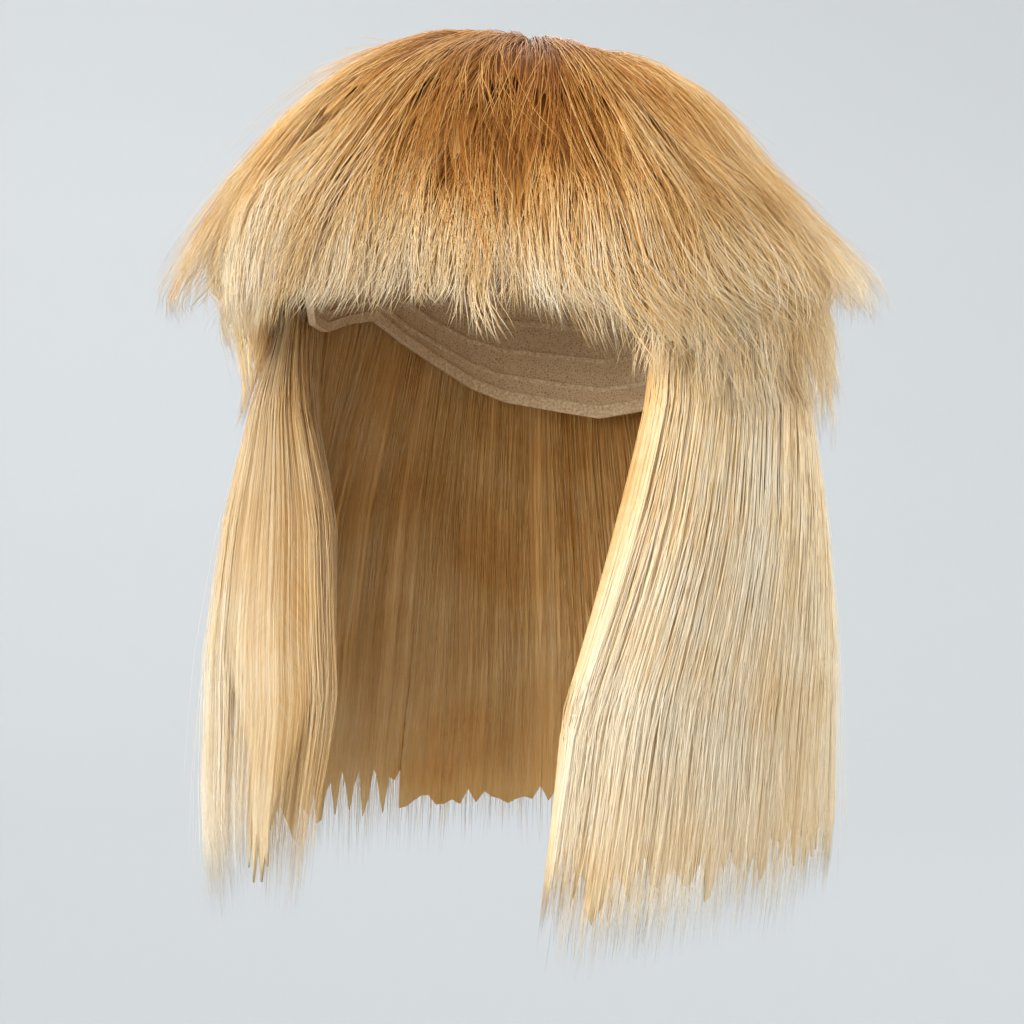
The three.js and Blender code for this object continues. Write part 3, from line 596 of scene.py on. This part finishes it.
def threadMesh(name, place, normal, width, tone):
    count, rings, _ = place.shape
    run = np.gradient(place, axis=1)
    run /= np.maximum(np.linalg.norm(run, axis=-1, keepdims=True), tiny)
    side = np.cross(run, normal)
    side /= np.maximum(np.linalg.norm(side, axis=-1, keepdims=True), tiny)
    up = np.cross(side, run)
    half = (width * mm / 2)[..., None]
    corners = np.stack([
        place + side * half - up * half * threadShape["under"],
        place - side * half - up * half * threadShape["under"],
        place + up * half * threadShape["over"],
    ], axis=2)
    places = np.concatenate([corners[:, :-1].reshape(count, -1, 3), place[:, -1:]], axis=1)
    perHair = places.shape[1]
    pattern = []
    for ring in range(rings - 2):
        a, b = ring * 3, ring * 3 + 3
        for k in range(3):
            n = (k + 1) % 3
            pattern.append((a + k, b + k, b + n, a + n))
    last = (rings - 2) * 3
    for k in range(3):
        pattern.append((last + k, perHair - 1, last + (k + 1) % 3))
    pattern.append((0, 1, 2))
    faces = []
    for start in range(0, count * perHair, perHair):
        faces.extend([tuple(start + corner for corner in face) for face in pattern])
    piece = meshFrom(name, places.reshape(-1, 3), faces)
    setAttribute(piece, "tone", np.concatenate([np.repeat(tone[:, :-1], 3, axis=1), tone[:, -1:]], axis=1))
    addStrips(piece, pattern, count, rings, perHair)
    return piece


# Each hair has its own strip of the flat map that colours are baked on. A strip lies in a cell of a grid
# that is taller than it is wide, and leaves a gap to the next one.
stripLook = {"tall": 4, "width": 0.8, "height": 0.94, "left": 0.1, "low": 0.03, "rootTop": 0.05}


def addStrips(piece, pattern, count, rings, perHair):
    acrossCount = max(1, math.ceil(math.sqrt(count * stripLook["tall"])))
    downCount = math.ceil(count / acrossCount)
    cell = np.arange(count)
    left = (cell % acrossCount) / acrossCount
    low = (cell // acrossCount) / downCount
    stripWidth, stripHeight = stripLook["width"] / acrossCount, stripLook["height"] / downCount
    u, v = [], []
    for face in pattern:
        ringsOf = [min(corner // 3, rings - 1) if corner < perHair - 1 else rings - 1 for corner in face]
        sidesOf = [corner % 3 for corner in face]
        if len(face) == 4:
            first = sidesOf[0]
            sidesOf = [first, first, first + 1, first + 1]
        elif face[1] == perHair - 1:
            sidesOf = [sidesOf[0], sidesOf[0] + 0.5, sidesOf[0] + 1]
        else:
            ringsOf = [0.0, 0.0, stripLook["rootTop"]]
            sidesOf = [0, 0.2, 0.1]
        u.extend([stripLook["left"] + sideAt / 3 for sideAt in sidesOf])
        v.extend([stripLook["low"] + ringAt / (rings - 1) for ringAt in ringsOf])
    us = left[:, None] + np.array(u)[None, :] * stripWidth
    vs = low[:, None] + np.array(v)[None, :] * stripHeight
    layer = piece.data.uv_layers.new(name="OFBake")
    layer.data.foreach_set("uv", np.stack([us, vs], axis=-1).astype(np.float32).ravel())


# Colours of the hair from amber roots to cream ends, whose darker end also colours the painted shade carried
# in the tone,
# how it shines, and how its colour varies: patches some centimetres across, streaks and grooves along the
# bodies, and a fine mottle on the threads
hairFinish = {
    "colours": (
        (0.0, (0.3, 0.1, 0.012)), (0.2, (0.54, 0.23, 0.04)), (0.4, (0.7, 0.39, 0.12)),
        (0.6, (0.8, 0.54, 0.24)), (0.8, (0.87, 0.68, 0.41)), (1.0, (0.9, 0.79, 0.6)),
    ),
    "patchScale": 22, "patchDetail": 2, "patches": 0.5,
    "threadRoughness": 0.48, "threadShine": 0.35, "mottleScale": 260, "mottleDetail": 3, "mottle": 0.25,
    "bodyRoughness": 0.55, "bodyShine": 0.3, "squeeze": (2.4, 0.05, 1), "streakDetail": 5,
    "streakRoughness": 0.7, "streakMiddle": 0.52, "streaks": 0.65, "bump": 0.6, "bumpDepth": 0.0008,
}


def newMaterial(name, roughness):
    material = bpy.data.materials.new(name)
    material.use_nodes = True
    shader = material.node_tree.nodes["Principled BSDF"]
    shader.inputs["Roughness"].default_value = roughness
    return material, material.node_tree, shader


def addNode(tree, kind, **values):
    node = tree.nodes.new(kind)
    for name, value in values.items():
        setattr(node, name, value)
    return node


def mathNode(tree, operation, first, second, clamp=False):
    node = addNode(tree, "ShaderNodeMath", operation=operation, use_clamp=clamp)
    for socket, value in zip(node.inputs, (first, second)):
        if isinstance(value, (int, float)):
            socket.default_value = value
        else:
            tree.links.new(value, socket)
    return node.outputs[0]


def objectPlace(tree):
    return addNode(tree, "ShaderNodeTexCoord").outputs["Object"]


def noiseNode(tree, place, scale, detail):
    noise = addNode(tree, "ShaderNodeTexNoise")
    noise.inputs["Scale"].default_value = scale
    noise.inputs["Detail"].default_value = detail
    tree.links.new(place, noise.inputs["Vector"])
    return noise


# Turns a value round the middle into one round zero
def swing(tree, value, middle, strength):
    return mathNode(tree, "MULTIPLY", mathNode(tree, "SUBTRACT", value, middle), strength)


def addColours(tree, shader, stops, value):
    ramp = addNode(tree, "ShaderNodeValToRGB")
    elements = ramp.color_ramp.elements
    while len(elements) < len(stops):
        elements.new(0.5)
    for element, (position, colour) in zip(elements, stops):
        element.position = position
        element.color = (*colour, 1)
    tree.links.new(value, ramp.inputs["Fac"])
    tree.links.new(ramp.outputs["Color"], shader.inputs["Base Color"])


def addBump(tree, shader, height, strength, depth, invert=False):
    bump = addNode(tree, "ShaderNodeBump", invert=invert)
    bump.inputs["Strength"].default_value = strength
    bump.inputs["Distance"].default_value = depth
    tree.links.new(height, bump.inputs["Height"])
    tree.links.new(bump.outputs["Normal"], shader.inputs["Normal"])


def addHairColours(tree, shader, variation, shine):
    look = hairFinish
    tone = addNode(tree, "ShaderNodeAttribute", attribute_name="tone")
    noise = noiseNode(tree, objectPlace(tree), look["patchScale"], look["patchDetail"])
    varied = mathNode(tree, "ADD", variation, swing(tree, noise.outputs["Fac"], 0.5, look["patches"]))
    value = mathNode(tree, "ADD", tone.outputs["Fac"], varied, clamp=True)
    addColours(tree, shader, look["colours"], value)
    shader.inputs["Specular IOR Level"].default_value = shine


def threadMaterial():
    look = hairFinish
    material, tree, shader = newMaterial("hair_threads", look["threadRoughness"])
    noise = noiseNode(tree, objectPlace(tree), look["mottleScale"], look["mottleDetail"])
    mottle = swing(tree, noise.outputs["Fac"], 0.5, look["mottle"])
    addHairColours(tree, shader, mottle, look["threadShine"])
    return material


def bodyMaterial():
    look = hairFinish
    material, tree, shader = newMaterial("hair_body", look["bodyRoughness"])
    flow = addNode(tree, "ShaderNodeAttribute", attribute_name="flow")
    squeeze = addNode(tree, "ShaderNodeVectorMath", operation="MULTIPLY")
    squeeze.inputs[1].default_value = look["squeeze"]
    tree.links.new(flow.outputs["Vector"], squeeze.inputs[0])
    noise = noiseNode(tree, squeeze.outputs["Vector"], 1, look["streakDetail"])
    noise.inputs["Roughness"].default_value = look["streakRoughness"]
    streaks = swing(tree, noise.outputs["Fac"], look["streakMiddle"], look["streaks"])
    addHairColours(tree, shader, streaks, look["bodyShine"])
    addBump(tree, shader, noise.outputs["Fac"], look["bump"], look["bumpDepth"])
    return material


threadFinish = threadMaterial()
bodyFinish = bodyMaterial()
total = 0
for band in bands:
    body = hairBody(band)
    body.data.materials.append(bodyFinish)
    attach(body, "root")
    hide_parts(band["node"])
    threads = threadMesh(band["node"] + "_hairs", *growHair(band))
    threads.data.materials.append(threadFinish)
    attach(threads, "root")
    triangles = [sum(len(face.vertices) - 2 for face in piece.data.polygons) for piece in (body, threads)]
    total += sum(triangles)
    print(band["node"], "body", triangles[0], "triangles, hairs", triangles[1])
print("hair made,", total, "triangles")


# The cap keeps its solids and gets a stretch net. Inside it are the sewn bands that carry the hair
# and the hem. Shares run from the top of a panel to its foot, sizes are in mm.
capLook = {
    "edgeAzimuth": (0, 45, 72, 100, 140, 180), "edgeDepth": (60, 75, 103, 94, 128, 136),
    "columns": 32, "seam": 0.5, "crownRows": 4, "sideRows": 5,
    "crownBands": (0.34, 0.56, 0.78), "sideBands": (0.04, 0.18, 0.32, 0.46, 0.6, 0.74, 0.87),
    "bandWidth": 2.2, "hemShare": 0.97, "hemWidth": 6, "bandHeight": 0.9, "sunk": 0.2, "segments": 128,
}


def capEdge(azimuth):
    side = 180 - np.abs(180 - azimuth % 360)
    depth = np.interp(side, capLook["edgeAzimuth"], capLook["edgeDepth"])
    level = np.maximum(0, 1 - depth / head["rise"])
    over = np.arcsin(np.sqrt(1 - level ** head["squareness"])) * 2 / math.pi
    return np.where(depth > head["rise"], depth / head["rise"], over)


# A place on the flat facets of the cap's inside
def capPlace(isCrown, azimuth, share, height):
    look = capLook
    columnAt = azimuth / 360 * look["columns"]
    rows = look["crownRows"] if isCrown else look["sideRows"]
    rowAt = np.clip(share * rows, 0, rows - tiny)
    column, row = np.floor(columnAt), np.floor(rowAt)
    place = 0
    for nextColumn in (0, 1):
        for nextRow in (0, 1):
            corner = (column + nextColumn) * 360 / look["columns"]
            foot = look["seam"] if isCrown else capEdge(corner)
            reach = mix(0 if isCrown else look["seam"], foot, (row + nextRow) / rows)
            across = columnAt - column if nextColumn else 1 - columnAt + column
            down = rowAt - row if nextRow else 1 - rowAt + row
            place = place + overHead(corner, reach, height, tuck=1)[0] * (across * down)[..., None]
    return place


# A flat band round the inside of a panel, a little sunk into it
def capBand(name, isCrown, share, width):
    look = capLook
    azimuth = np.arange(look["segments"]) * 360 / look["segments"]
    top = capPlace(isCrown, azimuth, 0 * azimuth, 0)
    foot = capPlace(isCrown, azimuth, 0 * azimuth + 1, 0)
    half = width * mm / 2 / np.linalg.norm(foot - top, axis=-1)
    sunk, height = look["sunk"], look["bandHeight"]
    corners = []
    for side, level in ((-1, sunk), (-1, -height), (1, -height), (1, sunk)):
        corners.append(capPlace(isCrown, azimuth, np.clip(share + side * half, 0, 1), level))
    places = np.stack(corners, axis=1).reshape(-1, 3)
    faces = []
    for segment in range(look["segments"]):
        a, b = segment * 4, (segment + 1) % look["segments"] * 4
        faces.extend([(a + k, b + k, b + (k + 1) % 4, a + (k + 1) % 4) for k in range(4)])
    piece = meshFrom(name, places, faces, smooth=False)
    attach(piece, "root")
    return piece


# Colours and weave of the net and of the sewn bands
capFinish = {
    "netRoughness": 0.85, "netScale": 900, "netBump": 0.7, "netDepth": 0.0005,
    "netColours": ((0.0, (0.66, 0.47, 0.28)), (0.12, (0.6, 0.42, 0.24)), (0.4, (0.4, 0.25, 0.12))),
    "bandRoughness": 0.7, "bandScale": 900, "bandDetail": 2, "bandBump": 0.6, "bandDepth": 0.0004,
    "bandColours": ((0.3, (0.5, 0.33, 0.17)), (0.7, (0.78, 0.6, 0.38))),
}


def netMaterial():
    look = capFinish
    material, tree, shader = newMaterial("cap_net", look["netRoughness"])
    cells = addNode(tree, "ShaderNodeTexVoronoi", feature="DISTANCE_TO_EDGE")
    cells.inputs["Scale"].default_value = look["netScale"]
    tree.links.new(objectPlace(tree), cells.inputs["Vector"])
    addColours(tree, shader, look["netColours"], cells.outputs["Distance"])
    addBump(tree, shader, cells.outputs["Distance"], look["netBump"], look["netDepth"], invert=True)
    return material


def bandMaterial():
    look = capFinish
    material, tree, shader = newMaterial("cap_band", look["bandRoughness"])
    noise = noiseNode(tree, objectPlace(tree), look["bandScale"], look["bandDetail"])
    addColours(tree, shader, look["bandColours"], noise.outputs["Fac"])
    addBump(tree, shader, noise.outputs["Fac"], look["bandBump"], look["bandDepth"])
    return material


netFinish = netMaterial()
for node in ("cap_crown", "cap_sides"):
    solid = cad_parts[node]
    solid.data.materials.clear()
    solid.data.materials.append(netFinish)
bandFinish = bandMaterial()
capBands = [("cap_crown_band", True, share, capLook["bandWidth"]) for share in capLook["crownBands"]]
capBands += [("cap_side_band", False, share, capLook["bandWidth"]) for share in capLook["sideBands"]]
capBands.append(("cap_hem", False, capLook["hemShare"], capLook["hemWidth"]))
for name, isCrown, share, width in capBands:
    piece = capBand(name, isCrown, share, width)
    piece.data.materials.append(bandFinish)
print("cap dressed with", len(capBands), "bands")

# Pale floor that rises all round into a pale wall, lengths in m
stageLook = {
    "floor": -0.62, "flat": 2.4, "curve": 1.6, "wall": 2.2, "steps": 8, "segments": 96,
    "roughness": 0.9, "wallFrom": 0.8, "airColour": (0.86, 0.89, 0.92), "airStrength": 1.1,
    "floorColour": (0.41, 0.425, 0.435), "wallColour": (0.445, 0.46, 0.47),
}


def studioFloor():
    look = stageLook
    profile = [(0.0, 0.0), (look["flat"], 0.0)]
    for step in range(1, look["steps"] + 1):
        turn = math.pi / 2 * step / look["steps"]
        profile.append((look["flat"] + look["curve"] * math.sin(turn), look["curve"] * (1 - math.cos(turn))))
    profile.append((look["flat"] + look["curve"], look["curve"] + look["wall"]))
    segments = look["segments"]
    places, faces = [], []
    for radius, rise in profile:
        for segment in range(segments):
            turn = 2 * math.pi * segment / segments
            places.append((radius * math.cos(turn), radius * math.sin(turn), look["floor"] + rise))
    for ring in range(len(profile) - 1):
        for segment in range(segments):
            following = (segment + 1) % segments
            a, b = ring * segments, (ring + 1) * segments
            faces.append((a + segment, b + segment, b + following, a + following))
    piece = meshFrom("studio_floor", np.array(places), faces)
    material, tree, shader = newMaterial("studio_pale", look["roughness"])
    place = addNode(tree, "ShaderNodeSeparateXYZ")
    tree.links.new(objectPlace(tree), place.inputs["Vector"])
    height = mathNode(tree, "SUBTRACT", place.outputs["Z"], look["floor"])
    addColours(tree, shader, ((0.0, look["floorColour"]), (look["wallFrom"], look["wallColour"])), height)
    piece.data.materials.append(material)


studioFloor()

# Camera at the photograph's angle, in front of the wearer's left. Its focal length is in pixels.
cameraLook = {
    "azimuth": 24, "elevation": 2, "distance": 1.2, "aimHeight": -0.173, "aside": -0.0032,
    "focal": 3000, "width": 1024, "sensor": 36,
}


def addCamera():
    look = cameraLook
    turn, rise = math.radians(look["azimuth"]), math.radians(look["elevation"])
    away = Vector((math.sin(turn) * math.cos(rise), -math.cos(turn) * math.cos(rise), math.sin(rise)))
    right = Vector((math.cos(turn), math.sin(turn), 0))
    aim = Vector((0, 0, look["aimHeight"])) + right * look["aside"]
    data = bpy.data.cameras.new("camera")
    data.sensor_width = look["sensor"]
    data.lens = look["focal"] / look["width"] * look["sensor"]
    camera = bpy.data.objects.new("camera", data)
    camera.location = aim + away * look["distance"]
    camera.rotation_mode = "QUATERNION"
    camera.rotation_quaternion = (-away).to_track_quat("-Z", "Y")
    bpy.context.scene.collection.objects.link(camera)
    bpy.context.scene.camera = camera


addCamera()

# Soft lamps far off, all aimed at the middle of the wig: name, azimuth, rise above it, size, watts, colour
lampDistance = 3.4
lampAim = Vector((0, 0, -0.15))
lights = (
    ("key", -22, 1.16, 2.3, 132, (1.0, 0.98, 0.95)),
    ("side", 84, 0.45, 2.1, 63, (1.0, 0.98, 0.96)),
    ("low", 16, -0.09, 2.1, 37, (1.0, 0.99, 0.98)),
    ("back_left", 215, 2.2, 1.9, 60, (1.0, 1.0, 1.0)),
    ("back_right", 150, 1.2, 1.9, 42, (1.0, 1.0, 1.0)),
)
for name, azimuth, rise, size, watts, colour in lights:
    data = bpy.data.lights.new(name, "AREA")
    data.shape = "DISK"
    data.size = size
    data.energy = watts
    data.color = colour
    lamp = bpy.data.objects.new(name, data)
    turn = math.radians(azimuth)
    lamp.location = lampAim + Vector((lampDistance * math.sin(turn), -lampDistance * math.cos(turn), rise))
    lamp.rotation_mode = "QUATERNION"
    lamp.rotation_quaternion = (lampAim - lamp.location).to_track_quat("-Z", "Y")
    bpy.context.scene.collection.objects.link(lamp)

world = bpy.data.worlds.new("studio_air")
world.use_nodes = True
air = world.node_tree.nodes["Background"]
air.inputs["Color"].default_value = (*stageLook["airColour"], 1)
air.inputs["Strength"].default_value = stageLook["airStrength"]
bpy.context.scene.world = world
bpy.context.scene.view_settings.view_transform = "Standard"
print("studio ready")
